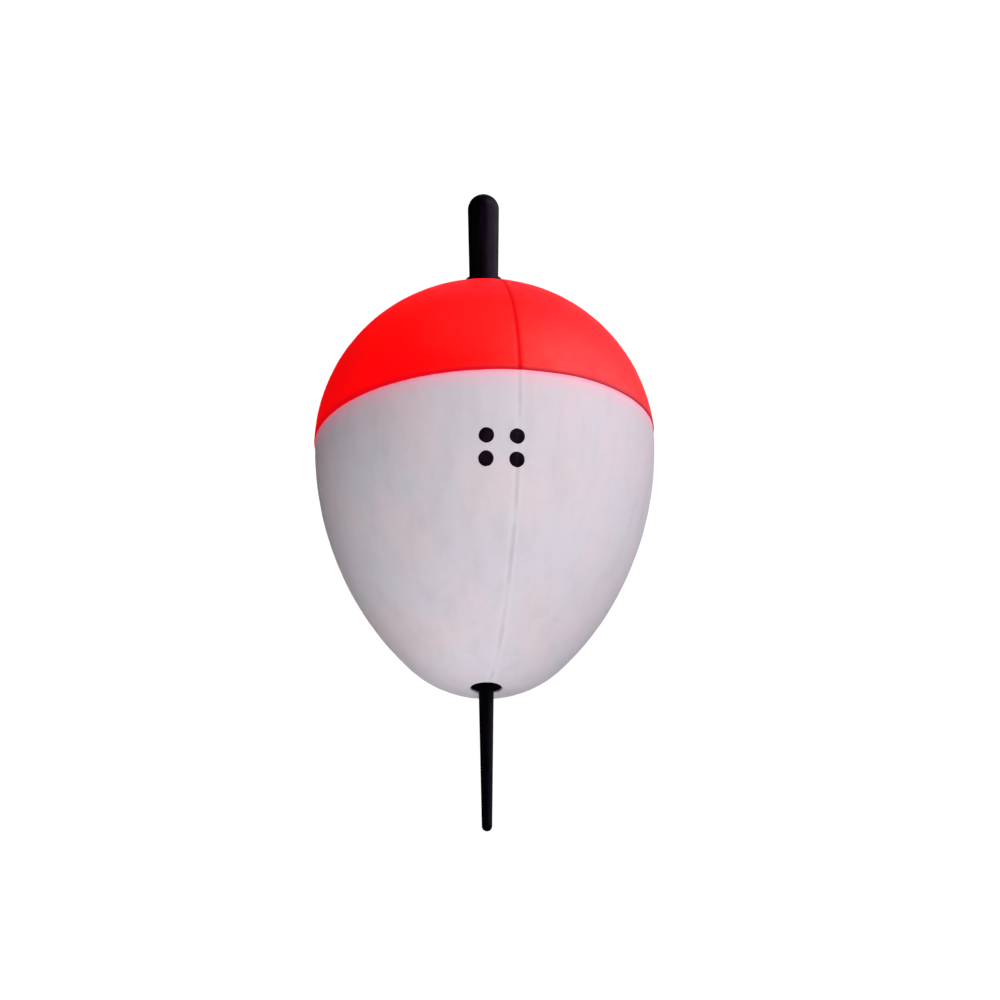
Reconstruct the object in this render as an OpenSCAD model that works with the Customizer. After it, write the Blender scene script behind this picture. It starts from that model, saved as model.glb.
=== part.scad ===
// Egg-shaped foam bobber float with a tapered locking peg.
// +Z runs up the line axis, towards the red end; the origin is the centre of the body's widest
// circle; -Y is the front, where the load rating is printed. All sizes are in millimetres.

/* [Body] */
// Widest diameter of the painted body
body_d = 22; // [20:0.5:26]
// Radius of the flank's arc, as a multiple of the body's radius
side_ratio = 1.97; // [1.8:0.01:2.2]
// Radius of the bottom's arc, as a multiple of the body's radius
bottom_ratio = 0.658; // [0.6:0.002:0.72]

/* [Paint] */
// Thickness of the white undercoat over the whole body
white_t = 0.12; // [0.08:0.01:0.2]
// Thickness of the red top coat
red_t = 0.06; // [0.04:0.01:0.1]
// Height of the red coat's edge above the widest circle
red_edge_z = 0.8; // [0.4:0.1:3]
// Slope of the red coat's edge across the front, in degrees
red_edge_slope = 2; // [0:0.5:3]

/* [Line sleeve] */
// Thickness of the sleeve's wall
sleeve_wall = 0.27; // [0.25:0.01:0.4]
// Rounding of the sleeve's four rims
sleeve_rim_r = 0.1; // [0.05:0.01:0.12]
// How far the sleeve stands above the top of the body
sleeve_proud = 0.9; // [0.6:0.1:1.5]
// How far the sleeve's lower end stops short of the body's lowest point
sleeve_recess = 0.3; // [0.2:0.05:0.5]
// Diameter of the mouth that the white coat leaves below the sleeve
mouth_d = 2; // [1.9:0.05:2.2]

/* [Locking peg] */
// Diameter of the peg just under its domed head
peg_head_d = 2.02; // [1.9:0.01:2.06]
// Diameter of the peg just above its rounded tip
peg_tip_d = 0.68; // [0.5:0.02:0.7]
// Height of the top of the peg when it is pushed home
peg_top_z = 17.9; // [16:0.1:18]
// Height of the peg's tip when it is pushed home
peg_tip_z = -26.7; // [-28:0.1:-24]
// Gap all round between the peg and the sleeve's upper rim when it is pushed home
seat_gap = 0.015; // [0.01:0.005:0.03]

/* [Load mark] */
// Diameter of each printed dot
dot_d = 1; // [0.6:0.05:1.2]
// Spacing of the dots across the body
dot_pitch_x = 2; // [1.6:0.1:2.4]
// Spacing of the dots up the body
dot_pitch_z = 1.5; // [1.3:0.1:2]
// Height of the middle of the mark
mark_z = -4.4; // [-8:0.1:-3]
// Bearing of the mark from the front, towards +X, in degrees
mark_bearing = 6; // [-20:1:20]
// Thickness of the ink
ink_t = 0.03; // [0.02:0.01:0.05]

/* [Hidden] */
$fn = 128;

body_r = body_d / 2;
side_r = side_ratio * body_r;
bottom_r = bottom_ratio * body_r;
// The flank's arc is centred on the widest circle's plane, beyond the axis.
side_offset = side_r - body_r;
// The bottom's arc is centred on the axis, where it meets the flank's arc smoothly.
bottom_centre_z = -sqrt(pow(side_r - bottom_r, 2) - pow(side_offset, 2));
blend_angle = atan2(-bottom_centre_z, side_offset);
bottom_z = bottom_centre_z - bottom_r;

// The surfaces of the red coat, the white coat and the foam are parallel curves.
white_inset = red_t;
foam_inset = red_t + white_t;

// The peg is one cone between the centres of its head's and its tip's roundings.
head_r = peg_head_d / 2;
tip_r = peg_tip_d / 2;
cone_top_z = peg_top_z - head_r;
cone_bottom_z = peg_tip_z + tip_r;

// The sleeve's bore is just wide enough for the peg to wedge in its upper rim.
sleeve_top_z = body_r + sleeve_proud;
sleeve_bottom_z = bottom_z + white_inset + sleeve_recess;
bore_r = peg_r(sleeve_top_z) + seat_gap;
sleeve_r = bore_r + sleeve_wall;

// Longer than the whole float, for cuts that pass right through it
clear_of_all = 3 * body_d;

// Radius of the peg's cone at height z.
function peg_r(z) = tip_r + (head_r - tip_r) * (z - cone_bottom_z) / (cone_top_z - cone_bottom_z);

// Right half of the body's upright section, with every arc moved in by inset.
module egg_half(inset) {
    blend_z = -(side_r - inset) * sin(blend_angle);
    intersection() {
        circle(r = body_r - inset);
        square(clear_of_all);
    }
    intersection() {
        translate([-side_offset, 0]) circle(r = side_r - inset);
        translate([0, blend_z]) square([clear_of_all, -blend_z]);
    }
    intersection() {
        translate([0, bottom_centre_z]) circle(r = bottom_r - inset);
        translate([0, blend_z - clear_of_all]) square(clear_of_all);
    }
}

// Solid egg, with its surface moved in by inset.
module egg(inset) {
    rotate_extrude() egg_half(inset);
}

// Straight hole of radius r along the line axis, upwards from height z.
module axis_hole(r, z = -clear_of_all / 2) {
    translate([0, 0, z]) cylinder(r = r, h = clear_of_all);
}

// Everything above the red coat's sloping edge.
module above_red_edge() {
    translate([0, 0, red_edge_z])
        rotate([0, -red_edge_slope, 0])
            translate([-clear_of_all / 2, -clear_of_all / 2, 0])
                cube(clear_of_all);
}

// Expanded foam body, bored for the sleeve.
module foam_core() {
    color("whitesmoke")
        difference() {
            egg(foam_inset);
            axis_hole(sleeve_r);
        }
}

// White undercoat, with a lip that fills the recess below the sleeve.
module white_coat() {
    color("gainsboro")
        difference() {
            egg(white_inset);
            difference() {
                egg(foam_inset);
                translate([0, 0, sleeve_bottom_z - clear_of_all]) cylinder(r = sleeve_r, h = clear_of_all);
            }
            axis_hole(sleeve_r, sleeve_bottom_z);
            axis_hole(mouth_d / 2);
        }
}

// Red top coat over the upper part of the undercoat.
module red_coat() {
    color("red")
        intersection() {
            difference() {
                egg(0);
                egg(white_inset);
                axis_hole(sleeve_r);
            }
            above_red_edge();
        }
}

// Four printed dots in a square, for a load of four grams.
module load_mark() {
    color("black")
        intersection() {
            difference() {
                egg(white_inset - ink_t);
                egg(white_inset);
            }
            rotate([0, 0, mark_bearing])
                translate([0, 0, mark_z])
                    for (x = [-0.5, 0.5], z = [-0.5, 0.5])
                        translate([x * dot_pitch_x, 0, z * dot_pitch_z])
                            rotate([90, 0, 0])
                                cylinder(d = dot_d, h = body_d);
        }
}

// Straight black tube that lines the hole from end to end, with rounded rims.
module line_sleeve() {
    color("black")
        rotate_extrude()
            translate([bore_r, sleeve_bottom_z]) {
                sleeve_h = sleeve_top_z - sleeve_bottom_z;
                translate([sleeve_rim_r, 0]) square([sleeve_wall - 2 * sleeve_rim_r, sleeve_h]);
                translate([0, sleeve_rim_r]) square([sleeve_wall, sleeve_h - 2 * sleeve_rim_r]);
                for (x = [sleeve_rim_r, sleeve_wall - sleeve_rim_r])
                    for (y = [sleeve_rim_r, sleeve_h - sleeve_rim_r])
                        translate([x, y]) circle(r = sleeve_rim_r);
            }
}

// One-piece tapered pin, domed at its head and rounded at its tip.
module locking_peg() {
    color("black")
        rotate_extrude()
            intersection() {
                union() {
                    translate([0, cone_top_z]) circle(r = head_r);
                    translate([0, cone_bottom_z]) circle(r = tip_r);
                    polygon([
                        [0, cone_bottom_z],
                        [tip_r, cone_bottom_z],
                        [head_r, cone_top_z],
                        [0, cone_top_z]
                    ]);
                }
                translate([0, -clear_of_all / 2]) square(clear_of_all);
            }
}

foam_core();
white_coat();
red_coat();
load_mark();
line_sleeve();
locking_peg();
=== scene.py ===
"""Bobber float: painted foam egg with a black line sleeve and a tapered locking peg.

Every length is in metres. A bearing runs from the front (-Y) towards +X, in radians. A place on the
egg is given by its bearing and its slope, which is how far the surface's outward normal rises above
the horizon: +90 degrees at the top, 0 at the widest circle and -90 degrees at the bottom.
"""
import math
import bpy
import numpy as np
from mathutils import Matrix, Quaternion, Vector, noise


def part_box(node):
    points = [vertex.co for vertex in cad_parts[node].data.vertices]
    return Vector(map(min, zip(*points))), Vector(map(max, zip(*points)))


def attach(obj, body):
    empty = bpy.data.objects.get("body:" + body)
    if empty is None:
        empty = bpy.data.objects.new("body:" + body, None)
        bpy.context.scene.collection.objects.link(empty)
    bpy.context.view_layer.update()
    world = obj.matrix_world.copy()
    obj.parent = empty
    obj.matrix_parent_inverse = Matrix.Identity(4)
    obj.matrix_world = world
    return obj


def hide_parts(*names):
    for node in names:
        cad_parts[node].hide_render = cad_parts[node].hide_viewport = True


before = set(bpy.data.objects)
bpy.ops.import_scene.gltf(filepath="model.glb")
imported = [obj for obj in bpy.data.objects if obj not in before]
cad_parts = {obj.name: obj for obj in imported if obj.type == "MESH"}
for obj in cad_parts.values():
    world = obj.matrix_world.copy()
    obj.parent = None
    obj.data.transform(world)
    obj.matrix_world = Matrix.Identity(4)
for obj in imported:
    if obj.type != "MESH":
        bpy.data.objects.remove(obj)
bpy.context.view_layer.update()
MM = 0.001

# ---------------------------------------------------------------- sizes, from the frame
white_low, white_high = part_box("white_coat")
sleeve_low, sleeve_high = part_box("line_sleeve")
peg_low, peg_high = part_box("locking_peg")
mark_low, mark_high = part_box("load_mark")

RED_T = 0.06 * MM
WHITE_T = 0.12 * MM
BODY_R = (white_high.x - white_low.x) / 2 + RED_T
SIDE_R = 1.97 * BODY_R
BOTTOM_R = 0.658 * BODY_R
SIDE_OFFSET = SIDE_R - BODY_R
BOTTOM_Z = -math.sqrt((SIDE_R - BOTTOM_R) ** 2 - SIDE_OFFSET ** 2)
BLEND_SLOPE = -math.atan2(-BOTTOM_Z, SIDE_OFFSET)
FOAM_INSET = RED_T + WHITE_T

SLEEVE_R = (sleeve_high.x - sleeve_low.x) / 2
SLEEVE_WALL = 0.27 * MM
MOUTH_R = 1.0 * MM
PEG_HEAD_R = (peg_high.x - peg_low.x) / 2
PEG_TIP_R = 0.34 * MM

RED_EDGE_Z = 0.8 * MM
RED_EDGE_SLOPE = math.tan(math.radians(2))
SEAM_BEARING = math.radians(12)
FULL_TURN = 2 * math.pi


# ---------------------------------------------------------------- the egg's surface
def egg_point(slope, inset):
    """Radius and height of the egg's surface at each slope, moved in by inset."""
    flank = (slope < 0) & (slope > BLEND_SLOPE)
    arc_r = np.where(slope >= 0, BODY_R, np.where(flank, SIDE_R, BOTTOM_R)) - inset
    centre_r = np.where(flank, -SIDE_OFFSET, 0.0)
    centre_z = np.where(slope <= BLEND_SLOPE, BOTTOM_Z, 0.0)
    return centre_r + arc_r * np.cos(slope), centre_z + arc_r * np.sin(slope)


def slopes_between(first, last, step):
    """Slopes from first down to last, evenly spaced along the egg's outline."""
    corners = np.array([math.pi / 2, 0, BLEND_SLOPE, -math.pi / 2])
    lengths = np.abs(np.diff(corners)) * [BODY_R, SIDE_R, BOTTOM_R]
    along = np.concatenate([[0], np.cumsum(lengths)])
    start, end = np.interp([-first, -last], -corners, along)
    count = max(2, int(round((end - start) / step)) + 1)
    return -np.interp(np.linspace(start, end, count), along, -corners)


def slope_at_radius(radius, inset, top):
    """Slope at which the egg's end has this radius, at its top or its bottom."""
    arc_r = (BODY_R if top else BOTTOM_R) - inset
    return math.acos(radius / arc_r) * (1 if top else -1)


def place(radius, height, bearing):
    """Points from radii, heights and bearings."""
    radius, height, bearing = np.broadcast_arrays(radius, height, bearing)
    return np.stack([radius * np.sin(bearing), -radius * np.cos(bearing), height], -1)


def bearings(count, fine_at, fine_reach, fine_count):
    """Bearings round a full turn, with extra ones close to each bearing in fine_at."""
    spread = [np.linspace(0, FULL_TURN, count, endpoint=False)]
    for middle in fine_at:
        spread.append((middle + np.linspace(-fine_reach, fine_reach, fine_count)) % FULL_TURN)
    merged = np.sort(np.concatenate(spread))
    apart = np.diff(merged, append=merged[0] + FULL_TURN) > math.radians(0.05)
    return merged[apart]


# ---------------------------------------------------------------- relief of the moulded surface
BEAD_SIZE = 2.1 * MM
BEAD_DEPTH = 0.010 * MM
SWELL_SIZE = 7 * MM
SWELL_DEPTH = 0.022 * MM
SEAM_DEPTH = 0.020 * MM
SEAM_HALF_WIDTH = 0.11 * MM
SEAM_LIP = 0.005 * MM
SEAM_STEP = 0.006 * MM
# Small craters where beads were missing: bearing and height, width and depth
PITS = [
    (math.radians(28), -9.1 * MM, 0.42 * MM, 0.040 * MM),
    (math.radians(39), -9.2 * MM, 0.50 * MM, 0.035 * MM),
    (math.radians(24), -6.5 * MM, 0.36 * MM, 0.025 * MM),
    (math.radians(-31), -8.6 * MM, 0.40 * MM, 0.020 * MM),
    (math.radians(118), -3.4 * MM, 0.45 * MM, 0.040 * MM),
    (math.radians(171), -7.7 * MM, 0.40 * MM, 0.035 * MM),
    (math.radians(236), -11.5 * MM, 0.45 * MM, 0.040 * MM),
    (math.radians(303), -2.8 * MM, 0.38 * MM, 0.030 * MM),
]


def bead_edges(points, size):
    """How near each point is to a border between beads: 0 inside a bead, 1 on a border."""
    flat = points.reshape(-1, 3) / size
    near = np.empty(len(flat))
    for i, p in enumerate(flat):
        distances = noise.voronoi(Vector(p))[0]
        near[i] = distances[1] - distances[0]
    return np.exp(-(near / 0.16) ** 2).reshape(points.shape[:-1])


def swell(points, size):
    """Slow unevenness between -1 and 1."""
    flat = points.reshape(-1, 3) / size
    return np.array([noise.noise(Vector(p)) for p in flat]).reshape(points.shape[:-1])


def waver(across, along, frequency, layer):
    """Slow unevenness between -1 and 1 round a circle, from its points' sines and cosines."""
    return np.array([
        noise.noise(Vector((x * frequency, y * frequency, layer))) for x, y in zip(across, along)
    ])


def seam_distance(radius, bearing):
    """Signed distance across the nearer of the mould's two parting lines."""
    return radius * np.sin(bearing - SEAM_BEARING)


def relief(slope, bearing):
    """Height of the moulded surface above the smooth egg."""
    slope, bearing = np.broadcast_arrays(slope, bearing)
    radius, height = egg_point(slope, 0)
    points = place(radius, height, bearing)
    across = seam_distance(radius, bearing)
    seam = -SEAM_DEPTH * np.exp(-(across / SEAM_HALF_WIDTH) ** 2)
    seam += SEAM_LIP * np.exp(-((np.abs(across) - 3 * SEAM_HALF_WIDTH) / SEAM_HALF_WIDTH) ** 2)
    step = SEAM_STEP * np.tanh(across / SEAM_HALF_WIDTH) * np.exp(-(across / (6 * MM)) ** 2)
    total = seam + step
    total += SWELL_DEPTH * swell(points, SWELL_SIZE)
    total -= BEAD_DEPTH * bead_edges(points, BEAD_SIZE)
    for pit_bearing, pit_height, width, depth in PITS:
        sideways = radius * np.sin((bearing - pit_bearing) / 2) * 2
        apart = np.hypot(sideways, height - pit_height)
        total -= depth * np.exp(-(apart / (width / 2)) ** 2)
    return total


# ---------------------------------------------------------------- meshes
def add_mesh(name, vertices, faces, body, node):
    """A smooth-shaded object that stands for a CAD node and rides on its body."""
    mesh = bpy.data.meshes.new(name)
    mesh.from_pydata(vertices.tolist(), [], faces)
    mesh.polygons.foreach_set("use_smooth", np.ones(len(mesh.polygons), bool))
    mesh.update()
    piece = bpy.data.objects.new(name, mesh)
    bpy.context.scene.collection.objects.link(piece)
    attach(piece, body)
    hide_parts(node)
    return piece


def ring_faces(rings, columns, closed):
    """Quads between neighbouring rings of points, and from the last ring to the first if closed."""
    steps = rings if closed else rings - 1
    ring, column = np.meshgrid(np.arange(steps), np.arange(columns), indexing="ij")
    row = ring * columns
    row_below = (ring + 1) % rings * columns
    beside = (column + 1) % columns
    quads = [row + column, row_below + column, row_below + beside, row + beside]
    return np.stack(quads, -1).reshape(-1, 4).tolist()


def end_caps(rings, columns):
    """A face over the first ring and one over the last."""
    last = (rings - 1) * columns
    return [list(range(columns)), [last + i for i in reversed(range(columns))]]


def ring_piece(name, rings, body, node):
    """A tube-like solid: rings of points that run down its outside and back up its inside."""
    rings = np.concatenate(rings)
    faces = ring_faces(len(rings), rings.shape[1], True)
    return add_mesh(name, rings.reshape(-1, 3), faces, body, node)


def flat_rings(radii, heights, bearing):
    """Level rings at the given radii and heights."""
    return place(np.array(radii)[:, None], np.array(heights)[:, None], bearing[None, :])


def egg_rings(slopes, inset, bearing, lift=None):
    """Rings on the egg, moved in by inset and out by lift along the surface's normal."""
    slopes = slopes[:, None] if slopes.ndim == 1 else slopes
    lift = relief(slopes, bearing[None, :]) if lift is None else lift
    radius, height = egg_point(slopes, inset - lift)
    return place(radius, height, bearing[None, :])


BODY_BEARINGS = bearings(384, (SEAM_BEARING, SEAM_BEARING + math.pi), math.radians(1.8), 17)
VISIBLE_STEP = 0.17 * MM
HIDDEN_STEP = 0.7 * MM
TOP_SLOPE = slope_at_radius(SLEEVE_R, 0, True)


def make_foam():
    """Foam body with beads that stand out, bored through for the sleeve."""
    groove_depth = 0.03 * MM
    inset = FOAM_INSET + 0.004 * MM
    slopes = slopes_between(TOP_SLOPE, slope_at_radius(SLEEVE_R, inset, False), 0.3 * MM)
    bearing = BODY_BEARINGS[::2]
    radius, height = egg_point(slopes[:, None], inset)
    points = place(radius, height, bearing[None, :])
    lift = relief(slopes[:, None], bearing[None, :]) - groove_depth * bead_edges(points, BEAD_SIZE)
    outside = egg_rings(slopes, inset, bearing, lift)
    bore = np.linspace(height[-1, 0], height[0, 0], 24)[1:-1]
    inside = flat_rings(np.full(len(bore), SLEEVE_R), bore, bearing)
    return ring_piece("foam_body", [outside, inside], "float_body", "foam_core")


def make_white_coat():
    """White undercoat, whose lower end closes in round the mouth below the sleeve."""
    below_red = math.radians(9)
    round_r = 0.12 * MM
    bottom_slope = slope_at_radius(MOUTH_R + round_r, RED_T, False)
    hidden = slopes_between(TOP_SLOPE, below_red, HIDDEN_STEP)
    shown = slopes_between(below_red, bottom_slope, VISIBLE_STEP)[1:]
    outside = egg_rings(np.concatenate([hidden, shown]), RED_T, BODY_BEARINGS)
    # The lip turns in from the body's surface to the mouth's wall along a quarter circle.
    lip_z = float(egg_point(np.array(bottom_slope), RED_T)[1])
    turn = np.linspace(0.15, 1, 7) * math.pi / 2
    lip = flat_rings(
        MOUTH_R + round_r * (1 - np.sin(turn)), lip_z + round_r * (1 - np.cos(turn)), BODY_BEARINGS
    )
    end_z = sleeve_low.z - 0.002 * MM
    inner_bottom = slope_at_radius(SLEEVE_R + 0.01 * MM, FOAM_INSET, False)
    ledge = flat_rings([MOUTH_R, SLEEVE_R], [end_z, end_z], BODY_BEARINGS)
    inner = slopes_between(TOP_SLOPE, inner_bottom, 1.5 * MM)[::-1]
    inside = egg_rings(inner, FOAM_INSET, BODY_BEARINGS)
    return ring_piece(
        "white_lacquer", [outside, lip, ledge, inside], "float_body", "white_coat"
    )


def red_edge_slopes(bearing):
    """Slope at which the red coat's edge meets each bearing, with a painter's slight waver."""
    edge = RED_EDGE_Z + BODY_R * np.sin(bearing) * RED_EDGE_SLOPE
    edge += 0.03 * MM * waver(np.sin(bearing), np.cos(bearing), 4, 5.0)
    return np.arcsin(edge / BODY_R)


def make_red_coat():
    """Red top coat: rounded at its edge, and drawn a little way up the sleeve."""
    round_r = 0.12 * MM
    ridge_rise, ridge_at, ridge_width = 0.010 * MM, 0.2 * MM, 0.12 * MM
    drawn_up, drawn_reach = 0.14 * MM, 0.09 * MM
    # The coat stands this far off the white one, so that the two never cross.
    clearance = 0.003 * MM
    edge = red_edge_slopes(BODY_BEARINGS)
    rings = int((TOP_SLOPE - edge.min()) * BODY_R / VISIBLE_STEP)
    close_rings = [0, 0.0008, 0.0022, 0.0045, 0.008, 0.012]
    share = np.concatenate([close_rings, np.linspace(0.018, 1, rings)])
    slopes = TOP_SLOPE + (edge[None, :] - TOP_SLOPE) * (1 - share[:, None])
    from_edge = (slopes - edge[None, :]) * BODY_R
    rise = np.clip(from_edge / round_r, 0, 1)
    thickness = (RED_T - clearance) * np.sqrt(1 - (1 - rise) ** 2)
    thickness += ridge_rise * np.exp(-((from_edge - ridge_at) / ridge_width) ** 2)
    radius, _ = egg_point(slopes, 0)
    thickness += drawn_up * np.exp(-(radius - SLEEVE_R) / drawn_reach)
    surface = relief(slopes, BODY_BEARINGS[None, :]) + clearance
    outside = egg_rings(slopes, RED_T, BODY_BEARINGS, surface + thickness)[::-1]
    under = share[::8]
    under_slopes = TOP_SLOPE + (edge[None, :] - TOP_SLOPE) * (1 - under[:, None])
    inside_lift = relief(under_slopes, BODY_BEARINGS[None, :]) + 0.002 * MM
    inside = egg_rings(under_slopes, RED_T, BODY_BEARINGS, inside_lift)
    return ring_piece("red_lacquer", [outside, inside], "float_body", "red_coat")


def make_load_mark():
    """Four printed dots on the white coat, a little thicker in the middle than at the rim."""
    middle_z = (mark_low.z + mark_high.z) / 2
    dot_r, ink_t = 0.5 * MM, 0.03 * MM
    pitch_x, pitch_z = 2.0 * MM, mark_high.z - mark_low.z - 2 * dot_r
    bearing_of_mark = math.radians(6)
    flank = SIDE_R - RED_T
    shares = np.concatenate([np.linspace(0.12, 0.84, 6), [0.9, 0.94, 0.97, 0.99, 1.0]])
    around = np.linspace(0, FULL_TURN, 72, endpoint=False)
    vertices, faces = [], []
    count = len(around)
    for dot, (x, z) in enumerate([(-0.5, -0.5), (0.5, -0.5), (0.5, 0.5), (-0.5, 0.5)]):
        uneven = 1 + 0.035 * waver(np.cos(around), np.sin(around), 1.6, 7.0 * dot)
        reach = shares[:, None] * dot_r * uneven[None, :]
        slope = np.arcsin((middle_z + z * pitch_z + reach * np.sin(around)) / flank)
        radius, _ = egg_point(slope, RED_T)
        bearing = bearing_of_mark + (x * pitch_x + reach * np.cos(around)) / radius
        ink = ink_t * np.sqrt(np.clip(1 - shares ** 8, 0, 1))[:, None]
        base = relief(slope, bearing)
        upper = place(*egg_point(slope, RED_T - base - ink - 0.002 * MM), bearing)
        lower = place(*egg_point(slope, RED_T - base + 0.006 * MM), bearing)[::-1]
        rings = np.concatenate([upper, lower])
        first = len(vertices)
        vertices.extend(rings.reshape(-1, 3).tolist())
        dot_faces = ring_faces(len(rings), count, False) + end_caps(len(rings), count)
        faces.extend([[first + i for i in face] for face in dot_faces])
    return add_mesh("load_dots", np.array(vertices), faces, "float_body", "load_mark")


def make_sleeve():
    """Black tube with rounded cut ends, the upper one slightly uneven."""
    bearing = bearings(120, (), 0, 0)
    rim = 0.1 * MM
    inner_r = SLEEVE_R - SLEEVE_WALL
    turn = np.linspace(0, math.pi / 2, 6)
    low, high = sleeve_low.z, sleeve_high.z
    top_out = (SLEEVE_R - rim + rim * np.cos(turn), high - rim + rim * np.sin(turn))
    top_in = (inner_r + rim - rim * np.sin(turn), high - rim + rim * np.cos(turn))
    bottom_in = (inner_r + rim - rim * np.cos(turn), low + rim - rim * np.sin(turn))
    bottom_out = (SLEEVE_R - rim + rim * np.sin(turn), low + rim - rim * np.cos(turn))
    down = np.linspace(high - rim, low + rim, 40)[1:-1]
    outside, inside = np.full(len(down), SLEEVE_R), np.full(len(down), inner_r)
    outline = [bottom_out, (outside, down[::-1]), top_out, top_in, (inside, down), bottom_in]
    radii = np.concatenate([r for r, _ in outline])
    heights = np.concatenate([z for _, z in outline])
    rings = flat_rings(radii, heights, bearing)[::-1]
    cut = waver(np.sin(bearing), np.cos(bearing), 1.5, 3.0)
    near_top = np.clip((rings[..., 2] - (high - 3 * rim)) / (3 * rim), 0, 1)
    rings[..., 2] -= 0.03 * MM * near_top * (0.5 + cut[None, :])
    return ring_piece("sleeve_tube", [rings], "float_body", "line_sleeve")


def make_peg():
    """Tapered peg with a domed head, two narrow mould flats and the stub of its moulding gate."""
    parting = (math.radians(100), math.radians(280))
    gate_r, gate_rise, flat_depth = 0.26 * MM, 0.04 * MM, 0.012 * MM
    bearing = bearings(120, parting, math.radians(16), 11)
    top_centre, tip_centre = peg_high.z - PEG_HEAD_R, peg_low.z + PEG_TIP_R
    head = np.linspace(0.03, 1, 22) * math.pi / 2
    cone = np.linspace(0, 1, 150)[1:-1]
    tip = np.linspace(1, 0.08, 12) * math.pi / 2
    radii = np.concatenate([
        PEG_HEAD_R * np.sin(head),
        PEG_HEAD_R + (PEG_TIP_R - PEG_HEAD_R) * cone,
        PEG_TIP_R * np.sin(tip),
    ])
    heights = np.concatenate([
        top_centre + PEG_HEAD_R * np.cos(head),
        top_centre + (tip_centre - top_centre) * cone,
        tip_centre - PEG_TIP_R * np.cos(tip),
    ])
    heights = heights + gate_rise / (1 + (radii / gate_r) ** 12) * (heights > 0)
    # Each flat cuts the round a little way in, on the plane where the mould's halves met.
    turned = np.min([np.abs(np.angle(np.exp(1j * (bearing - p)))) for p in parting], axis=0)
    flat_r = (radii - flat_depth)[:, None] / np.cos(np.minimum(turned, 1.0))[None, :]
    rings = place(np.minimum(radii[:, None], flat_r), heights[:, None], bearing[None, :])
    count = len(bearing)
    faces = ring_faces(len(rings), count, False) + end_caps(len(rings), count)
    return add_mesh("peg", rings.reshape(-1, 3), faces, "peg", "locking_peg")


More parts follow.
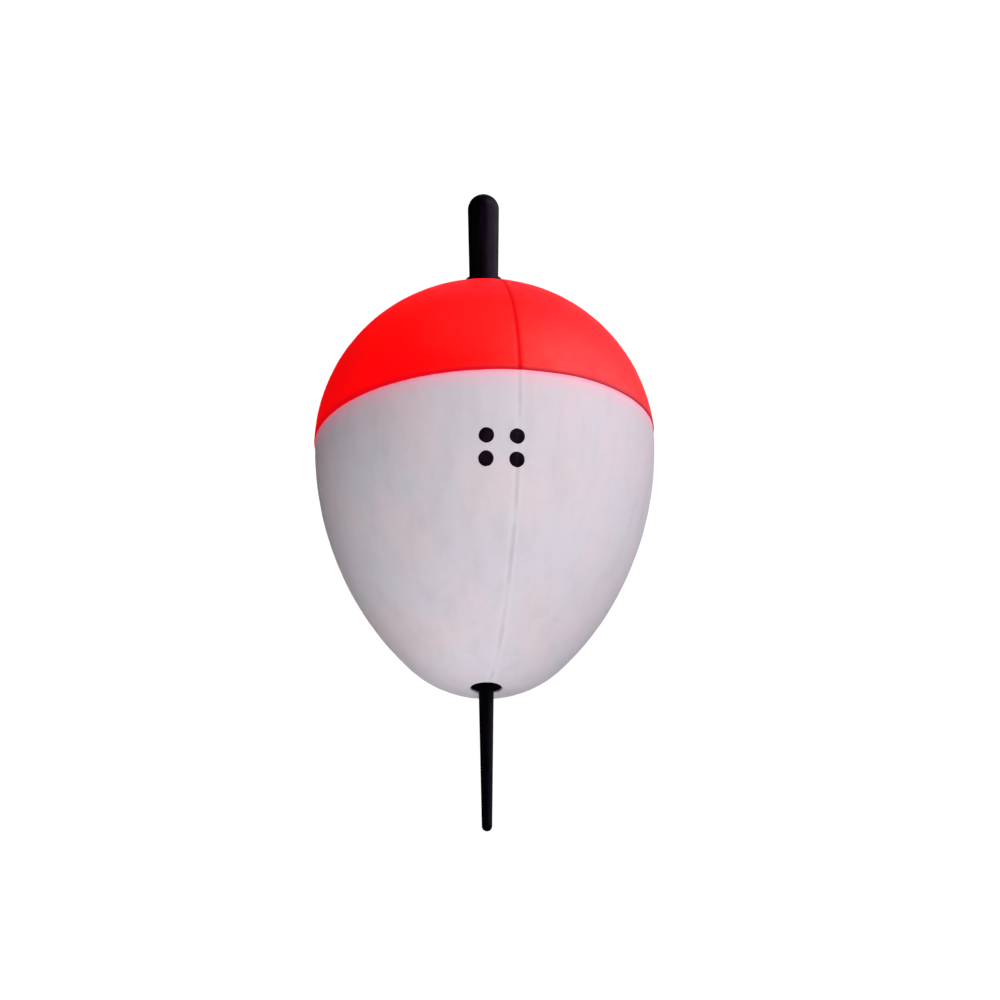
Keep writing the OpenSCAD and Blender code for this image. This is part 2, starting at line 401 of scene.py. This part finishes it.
# ---------------------------------------------------------------- materials
class Shader:
    """A Principled material and the few kinds of node that this object's surfaces need."""

    def __init__(self, name, roughness, specular=0.5):
        self.material = bpy.data.materials.new(name)
        self.material.use_nodes = True
        self.tree = self.material.node_tree
        self.surface = self.tree.nodes["Principled BSDF"]
        self.surface.inputs["Roughness"].default_value = roughness
        self.surface.inputs["Specular IOR Level"].default_value = specular
        self.place = self.tree.nodes.new("ShaderNodeTexCoord").outputs["Object"]

    def link(self, value, socket):
        """Feeds a socket from another node's output, a number or a colour."""
        if isinstance(value, bpy.types.NodeSocket):
            self.tree.links.new(value, socket)
        else:
            socket.default_value = (*value, 1.0) if isinstance(value, tuple) else value

    def stretched(self, x, y, z):
        """The object's coordinates, scaled along each axis."""
        node = self.tree.nodes.new("ShaderNodeVectorMath")
        node.operation = "MULTIPLY"
        self.link(self.place, node.inputs[0])
        node.inputs[1].default_value = (x, y, z)
        return node.outputs["Vector"]

    def grain(self, size, detail=2.0, roughness=0.5, where=None):
        """Noise whose features are about size across."""
        node = self.tree.nodes.new("ShaderNodeTexNoise")
        self.link(where or self.place, node.inputs["Vector"])
        node.inputs["Scale"].default_value = 1 / size
        node.inputs["Detail"].default_value = detail
        node.inputs["Roughness"].default_value = roughness
        return node.outputs["Fac"]

    def beads(self, size):
        """Distance from the nearest border between cells that are about size across."""
        node = self.tree.nodes.new("ShaderNodeTexVoronoi")
        node.feature = "DISTANCE_TO_EDGE"
        self.link(self.place, node.inputs["Vector"])
        node.inputs["Scale"].default_value = 1 / size
        return node.outputs["Distance"]

    def ramp(self, value, low, high, start=0.0, end=1.0):
        """Maps low..high on to start..end, smoothly and clamped."""
        node = self.tree.nodes.new("ShaderNodeMapRange")
        node.interpolation_type = "SMOOTHSTEP"
        self.link(value, node.inputs["Value"])
        keys = ("From Min", "From Max", "To Min", "To Max")
        for key, number in zip(keys, (low, high, start, end)):
            node.inputs[key].default_value = number
        return node.outputs["Result"]

    def maths(self, operation, first, second=0.0):
        node = self.tree.nodes.new("ShaderNodeMath")
        node.operation = operation
        self.link(first, node.inputs[0])
        self.link(second, node.inputs[1])
        return node.outputs["Value"]

    def mix(self, amount, first, second):
        """Blends two colours."""
        node = self.tree.nodes.new("ShaderNodeMix")
        node.data_type = "RGBA"
        self.link(amount, node.inputs["Factor"])
        for value, socket in ((first, node.inputs[6]), (second, node.inputs[7])):
            self.link(value, socket)
        return node.outputs[2]

    def bump(self, height, distance, onto=None):
        """A bump of this height in metres, laid over an earlier one if there is one."""
        node = self.tree.nodes.new("ShaderNodeBump")
        node.inputs["Distance"].default_value = distance
        self.link(height, node.inputs["Height"])
        if onto is not None:
            self.link(onto, node.inputs["Normal"])
        return node.outputs["Normal"]

    def axis(self, name):
        node = self.tree.nodes.new("ShaderNodeSeparateXYZ")
        self.link(self.place, node.inputs[0])
        return node.outputs[name]

    def colour(self, value):
        self.link(value, self.surface.inputs["Base Color"])

    def roughness(self, value):
        self.link(value, self.surface.inputs["Roughness"])

    def normal(self, value):
        self.link(value, self.surface.inputs["Normal"])

    def specular(self, value):
        self.link(value, self.surface.inputs["Specular IOR Level"])

    def sheen_tint(self, red, green, blue):
        self.surface.inputs["Specular Tint"].default_value = (red, green, blue, 1.0)

    def glow(self, value, strength):
        self.link(value, self.surface.inputs["Emission Color"])
        self.link(strength, self.surface.inputs["Emission Strength"])

    def above_red_edge(self):
        """Height above the red coat's sloping edge, in millimetres."""
        tilt = self.maths("MULTIPLY", self.axis("X"), RED_EDGE_SLOPE)
        height = self.maths("SUBTRACT", self.maths("SUBTRACT", self.axis("Z"), tilt), RED_EDGE_Z)
        return self.maths("DIVIDE", height, MM)

    def off_seam(self):
        """Distance from the parting line's plane, in millimetres."""
        x = self.maths("MULTIPLY", self.axis("X"), math.cos(SEAM_BEARING) / MM)
        y = self.maths("MULTIPLY", self.axis("Y"), math.sin(SEAM_BEARING) / MM)
        return self.maths("ABSOLUTE", self.maths("ADD", x, y))


def lacquer_bump(s):
    """Fine orange peel over the faint print of the beads."""
    peel = s.bump(s.grain(0.45 * MM, 1.0), 0.004 * MM)
    return s.bump(s.grain(0.12 * MM, 0.0), 0.0008 * MM, peel)


def white_material():
    s = Shader("white_lacquer", 0.6, 0.075)
    cool, warm, grey = (0.765, 0.724, 0.798), (0.826, 0.716, 0.776), (0.645, 0.600, 0.646)
    colour = s.mix(s.ramp(s.grain(4.5 * MM, 3.0, 0.55), 0.36, 0.64), cool, warm)
    # Runs of the dipped coat, which sagged downwards as it dried
    runs = s.grain(1.3 * MM, 3.0, 0.6, s.stretched(1.0, 1.0, 0.22))
    colour = s.mix(s.ramp(runs, 0.42, 0.78, 0.0, 0.38), colour, grey)
    borders = s.ramp(s.beads(BEAD_SIZE), 0.0, 0.12, 0.07, 0.0)
    colour = s.mix(borders, colour, grey)
    # Red mist from the spraying of the top coat, which thins out downwards from its edge
    height = s.above_red_edge()
    thick = s.ramp(height, -0.45, 0.0, 0.0, 0.5)
    thin = s.ramp(height, -1.5, 0.0, 0.0, 0.35)
    haze = s.ramp(height, -5.0, 0.0, 0.0, 0.06)
    mist = s.maths("ADD", s.maths("ADD", thick, thin), haze)
    colour = s.mix(mist, colour, (1.0, 0.45, 0.60))
    # The mist also glows pink: painted light that shines the same whatever the lamps do.
    s.glow((1.0, 0.05, 0.2), s.maths("MULTIPLY", mist, 0.26))
    # Painted shade darkens the parting line's groove, more in some places than in others.
    seam_shade_strength = s.ramp(s.grain(2.2 * MM, 2.0), 0.35, 0.65, 0.08, 0.5)
    distance = s.off_seam()
    seam = s.maths("MULTIPLY", s.ramp(distance, 0.03, 0.2, 1.0, 0.0), seam_shade_strength)
    colour = s.mix(seam, colour, (0.60, 0.57, 0.60))
    # Painted highlight lightens the groove's raised lips on either side.
    lip = s.ramp(distance, 0.16, 0.5, 1.0, 0.0)
    lip = s.maths("MULTIPLY", lip, s.maths("SUBTRACT", 0.22, seam))
    colour = s.mix(lip, colour, (0.90, 0.86, 0.90))
    s.colour(colour)
    s.roughness(s.ramp(s.grain(1.1 * MM, 3.0), 0.3, 0.7, 0.55, 0.7))
    s.normal(lacquer_bump(s))
    return s.material


def red_material():
    s = Shader("red_lacquer", 0.5)
    s.sheen_tint(1.0, 1.0, 0.82)
    patches = s.ramp(s.grain(3.5 * MM, 2.0), 0.35, 0.65)
    colour = s.mix(patches, (0.96, 0.0002, 0.002), (1.0, 0.0006, 0.001))
    # Painted shade darkens the coat along its edge, most of all towards +X.
    across = s.ramp(s.axis("X"), -9 * MM, 9 * MM)
    edge_shade = s.mix(across, (0.60, 0.001, 0.006), (0.26, 0.001, 0.010))
    colour = s.mix(s.ramp(s.above_red_edge(), 0.1, 0.6, 0.85, 0.0), colour, edge_shade)
    # Painted shade darkens the coat in the parting line's groove.
    seam = s.ramp(s.off_seam(), 0.03, 0.24, 1.0, 0.0)
    colour = s.mix(s.maths("MULTIPLY", seam, 0.7), colour, (0.45, 0.001, 0.004))
    s.colour(colour)
    # Fluorescent pigment gives back more red than falls on it, and this glow stands in for it as
    # painted light that shines the same whatever the lamps do.
    s.glow(colour, 0.64)
    s.specular(s.ramp(seam, 0.0, 1.0, 0.19, 0.04))
    s.roughness(s.ramp(s.grain(1.0 * MM, 3.0), 0.3, 0.7, 0.46, 0.56))
    s.normal(lacquer_bump(s))
    return s.material


def foam_material():
    s = Shader("foam_beads", 0.8, 0.3)
    borders = s.ramp(s.beads(BEAD_SIZE), 0.0, 0.12, 0.7, 0.0)
    patches = s.ramp(s.grain(0.5 * MM, 3.0), 0.35, 0.65)
    colour = s.mix(patches, (0.88, 0.88, 0.86), (0.94, 0.94, 0.93))
    s.colour(s.mix(borders, colour, (0.70, 0.70, 0.68)))
    s.roughness(s.ramp(s.grain(0.4 * MM), 0.3, 0.7, 0.72, 0.9))
    s.normal(s.bump(s.grain(0.25 * MM, 3.0), 0.02 * MM))
    return s.material


def ink_material():
    s = Shader("pad_ink", 0.55, 0.05)
    specks = s.ramp(s.grain(0.09 * MM, 2.0), 0.62, 0.8, 0.0, 0.5)
    patches = s.ramp(s.grain(0.6 * MM, 2.0), 0.3, 0.7)
    colour = s.mix(patches, (0.004, 0.001, 0.003), (0.010, 0.005, 0.009))
    s.colour(s.mix(specks, colour, (0.05, 0.04, 0.05)))
    s.roughness(s.ramp(s.grain(0.3 * MM, 2.0), 0.3, 0.7, 0.45, 0.65))
    s.normal(s.bump(s.grain(0.15 * MM, 2.0), 0.003 * MM))
    return s.material


def plastic_material(name, colour, sheen, rough, streak):
    """Black plastic with streaks along its length, as a drawn tube or a polished mould leaves."""
    s = Shader(name, rough, 0.5)
    s.sheen_tint(0.90, 0.66, 1.0)
    along = s.stretched(1.0, 1.0, 0.06)
    streaks = s.grain(streak, 3.0, 0.6, along)
    s.colour(s.mix(s.ramp(streaks, 0.35, 0.75), colour, sheen))
    s.roughness(s.ramp(s.grain(0.8 * MM, 3.0), 0.3, 0.7, rough - 0.05, rough + 0.08))
    # Fingers polish the end that stands above the float, and the rest stays dull.
    s.specular(s.ramp(s.axis("Z"), -14 * MM, 10 * MM, 0.015, 0.052))
    pores = s.bump(s.grain(0.06 * MM, 2.0), 0.0012 * MM)
    s.normal(s.bump(streaks, 0.003 * MM, pores))
    return s.material


def dress(piece, material):
    piece.data.materials.clear()
    piece.data.materials.append(material)


dress(make_foam(), foam_material())
dress(make_white_coat(), white_material())
dress(make_red_coat(), red_material())
dress(make_load_mark(), ink_material())
sleeve_plastic = plastic_material(
    "sleeve_plastic", (0.0015, 0.0010, 0.0020), (0.006, 0.005, 0.007), 0.5, 0.3 * MM
)
dress(make_sleeve(), sleeve_plastic)
peg_plastic = plastic_material(
    "peg_plastic", (0.0010, 0.0006, 0.0016), (0.004, 0.003, 0.006), 0.42, 0.25 * MM
)
dress(make_peg(), peg_plastic)


# ---------------------------------------------------------------- camera, light and floor
CAMERA_ELEVATION = math.radians(-23.5)
CAMERA_LENS = 1000
FRAME_WIDTH = 64.43 * MM
CAMERA_ROLL = math.radians(0.35)
# How far the picture's middle lies right of and below the frame's origin
AIM_RIGHT, AIM_DOWN = 0.96 * MM, 3.29 * MM


def bearing_vector(bearing, elevation):
    """Unit vector from the float towards a bearing and an elevation, in radians."""
    level = math.cos(elevation)
    return Vector((math.sin(bearing) * level, -math.cos(bearing) * level, math.sin(elevation)))


def make_camera():
    lens = bpy.data.cameras.new("camera")
    lens.lens = CAMERA_LENS
    camera = bpy.data.objects.new("camera", lens)
    bpy.context.scene.collection.objects.link(camera)
    bpy.context.scene.camera = camera
    back = bearing_vector(0, CAMERA_ELEVATION)
    turn = (-back).to_track_quat("-Z", "Y")
    up = turn @ Vector((0, 1, 0))
    right = turn @ Vector((1, 0, 0))
    distance = FRAME_WIDTH * CAMERA_LENS / lens.sensor_width
    camera.location = right * AIM_RIGHT - up * AIM_DOWN + back * distance
    camera.rotation_mode = "QUATERNION"
    camera.rotation_quaternion = turn @ Quaternion((0, 0, 1), -CAMERA_ROLL)
    lens.clip_start, lens.clip_end = 0.01, 20


def make_light(name, bearing, elevation, power, kind):
    """A square soft light that faces the float. Its kind is full, shade only or sheen only."""
    lamp = bpy.data.lights.new(name, "AREA")
    lamp.size = SHEEN_SIZE if kind == "sheen" else LIGHT_SIZE
    lamp.energy = power
    if kind == "sheen":
        lamp.color = SHEEN_COLOUR
    light = bpy.data.objects.new(name, lamp)
    bpy.context.scene.collection.objects.link(light)
    towards = bearing_vector(math.radians(bearing), math.radians(elevation))
    light.location = towards * LIGHT_DISTANCE
    light.rotation_mode = "QUATERNION"
    light.rotation_quaternion = towards.to_track_quat("Z", "Y")
    light.visible_camera = False
    light.visible_glossy = kind != "shade"
    light.visible_diffuse = kind != "sheen"


def make_world(seen, shade, sheen):
    """A white surround with its own brightness for the camera, for shading and for sheen."""
    world = bpy.data.worlds.new("studio")
    bpy.context.scene.world = world
    world.use_nodes = True
    # Without this, light sampling would give reflections the brightness that is meant for shading.
    world.cycles.sampling_method = "NONE"
    tree = world.node_tree
    background = tree.nodes["Background"]
    background.inputs["Color"].default_value = (1, 1, 1, 1)
    rays = tree.nodes.new("ShaderNodeLightPath")
    reflected, shown = tree.nodes.new("ShaderNodeMix"), tree.nodes.new("ShaderNodeMix")
    reflected.inputs["A"].default_value = shade
    reflected.inputs["B"].default_value = sheen
    shown.inputs["B"].default_value = seen
    tree.links.new(rays.outputs["Is Glossy Ray"], reflected.inputs["Factor"])
    tree.links.new(rays.outputs["Is Camera Ray"], shown.inputs["Factor"])
    tree.links.new(reflected.outputs["Result"], shown.inputs["A"])
    tree.links.new(shown.outputs["Result"], background.inputs["Strength"])


def make_floor():
    """A pale disc below the float, seen only from above, that fades out into the surround."""
    around = np.linspace(0, FULL_TURN, 96, endpoint=False)
    mesh = bpy.data.meshes.new("floor")
    mesh.from_pydata(place(FLOOR_R, FLOOR_Z, around).tolist(), [], [list(range(len(around)))])
    floor = bpy.data.objects.new("floor", mesh)
    bpy.context.scene.collection.objects.link(floor)
    s = Shader("floor_paint", 0.9, 0.1)
    s.colour(s.mix(s.grain(0.02, 2.0), (0.43, 0.43, 0.43), (0.45, 0.45, 0.45)))
    s.glow((1.0, 1.0, 1.0), 0.5)
    reach = s.tree.nodes.new("ShaderNodeVectorMath")
    reach.operation = "LENGTH"
    s.link(s.place, reach.inputs[0])
    fade = s.ramp(reach.outputs["Value"], FADE_START, FADE_END, 1.0, 0.0)
    facing_down = s.tree.nodes.new("ShaderNodeNewGeometry").outputs["Backfacing"]
    seen = s.maths("MULTIPLY", fade, s.maths("SUBTRACT", 1.0, facing_down))
    s.link(seen, s.surface.inputs["Alpha"])
    dress(floor, s.material)
    # The floor is only a backdrop: it neither lights the float nor shows in it.
    floor.visible_shadow = floor.visible_diffuse = floor.visible_glossy = False


# Name, bearing and elevation in degrees, power in watts, and kind of each soft light
LIGHTS = [
    ("right", 50, 42, 2.4, "full"),
    ("side", 80, 26, 0.45, "full"),
    ("front_low", 8, -36, 1.91, "shade"),
    ("low_right", 60, -30, 0.40, "shade"),
    ("far_side", 112, 22, 0.75, "full"),
    ("low_left", -66, -45, 0.64, "shade"),
    ("below", -15, -75, 1.6, "shade"),
    ("top", -30, 65, 0.9, "shade"),
    ("back", 182, 12, 2.8, "shade"),
    ("side_sheen", 70, 24, 8.8, "sheen"),
    ("top_sheen", 145, 42, 1.2, "sheen"),
]
LIGHT_DISTANCE, LIGHT_SIZE, SHEEN_SIZE = 0.7, 0.35, 0.9
SHEEN_COLOUR = (0.90, 0.75, 1.0)
FLOOR_Z, FLOOR_R = -0.042, 0.65
FADE_START, FADE_END = 0.2, 0.6

make_camera()
make_world(1.05, 0.07, 0.01)
make_floor()
for light in LIGHTS:
    make_light(*light)
bpy.context.scene.view_settings.view_transform = "Standard"
